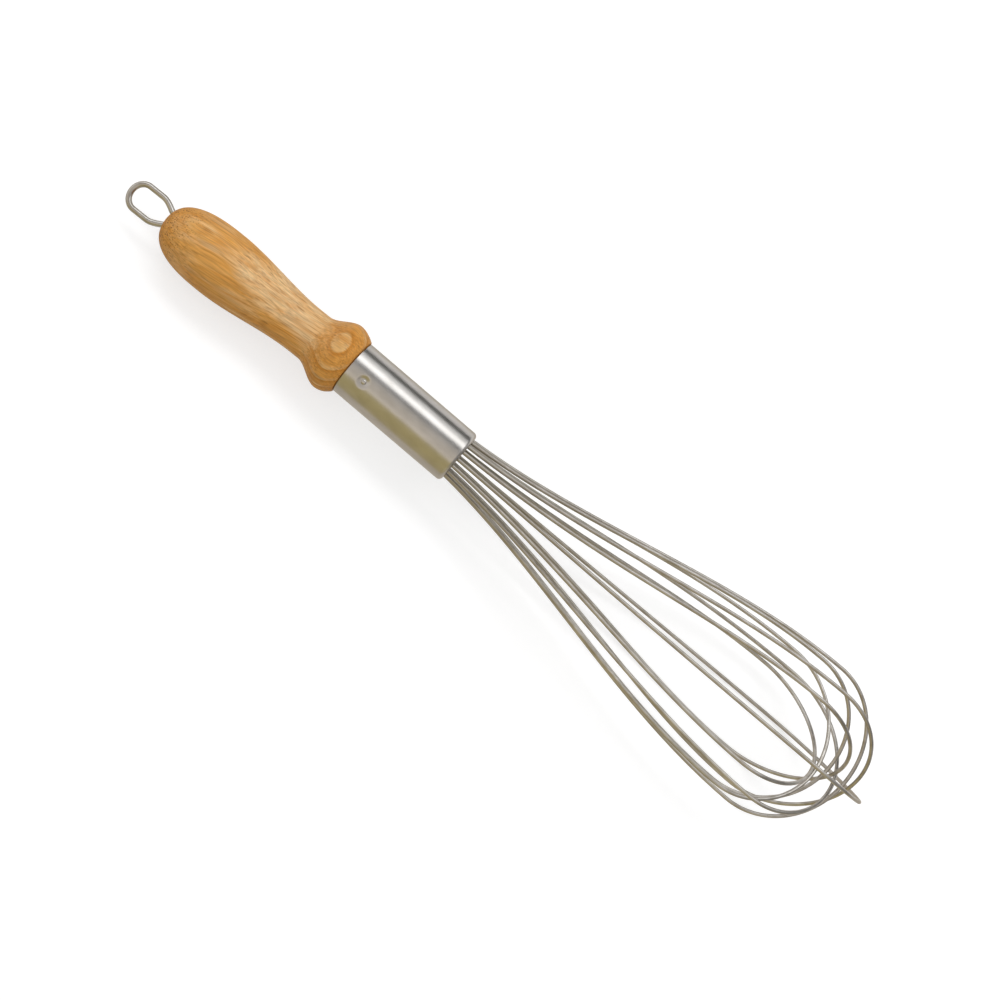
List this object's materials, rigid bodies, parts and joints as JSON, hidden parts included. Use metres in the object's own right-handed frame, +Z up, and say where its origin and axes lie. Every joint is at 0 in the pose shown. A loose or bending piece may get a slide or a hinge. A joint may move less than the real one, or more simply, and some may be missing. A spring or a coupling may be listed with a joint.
{
  "type": "balloon whisk",
  "caption": "Balloon whisk for beating and blending: nested steel wire loops set in a tube ferrule, on a turned wooden handle with a bent-wire hanging loop at its butt.",
  "frame": {"origin": "on the surface that the whisk lies on, under the middle of its box", "axes": "+X along its length, towards the tip of the balloon; +Z up from the surface"},
  "size_m": [0.3038, 0.0558, 0.0549],
  "materials": {
    "handle_wood": "oiled golden hardwood, turned smooth",
    "ferrule_steel": "satin stainless tube",
    "wire_steel": "bright drawn stainless wire",
    "potting_resin": "cast resin, matt"
  },
  "bodies": {
    "root": {"handle": "handle_wood", "ferrule": "ferrule_steel", "ferrule_pin": "ferrule_steel", "hanging_loop": "wire_steel", "wire_plug": "potting_resin", "wire_loop_1": "wire_steel", "wire_loop_2": "wire_steel", "wire_loop_3": "wire_steel", "wire_loop_4": "wire_steel", "wire_loop_5": "wire_steel", "wire_loop_6": "wire_steel", "wire_loop_7": "wire_steel", "wire_loop_8": "wire_steel"}
  },
  "joints": []
}
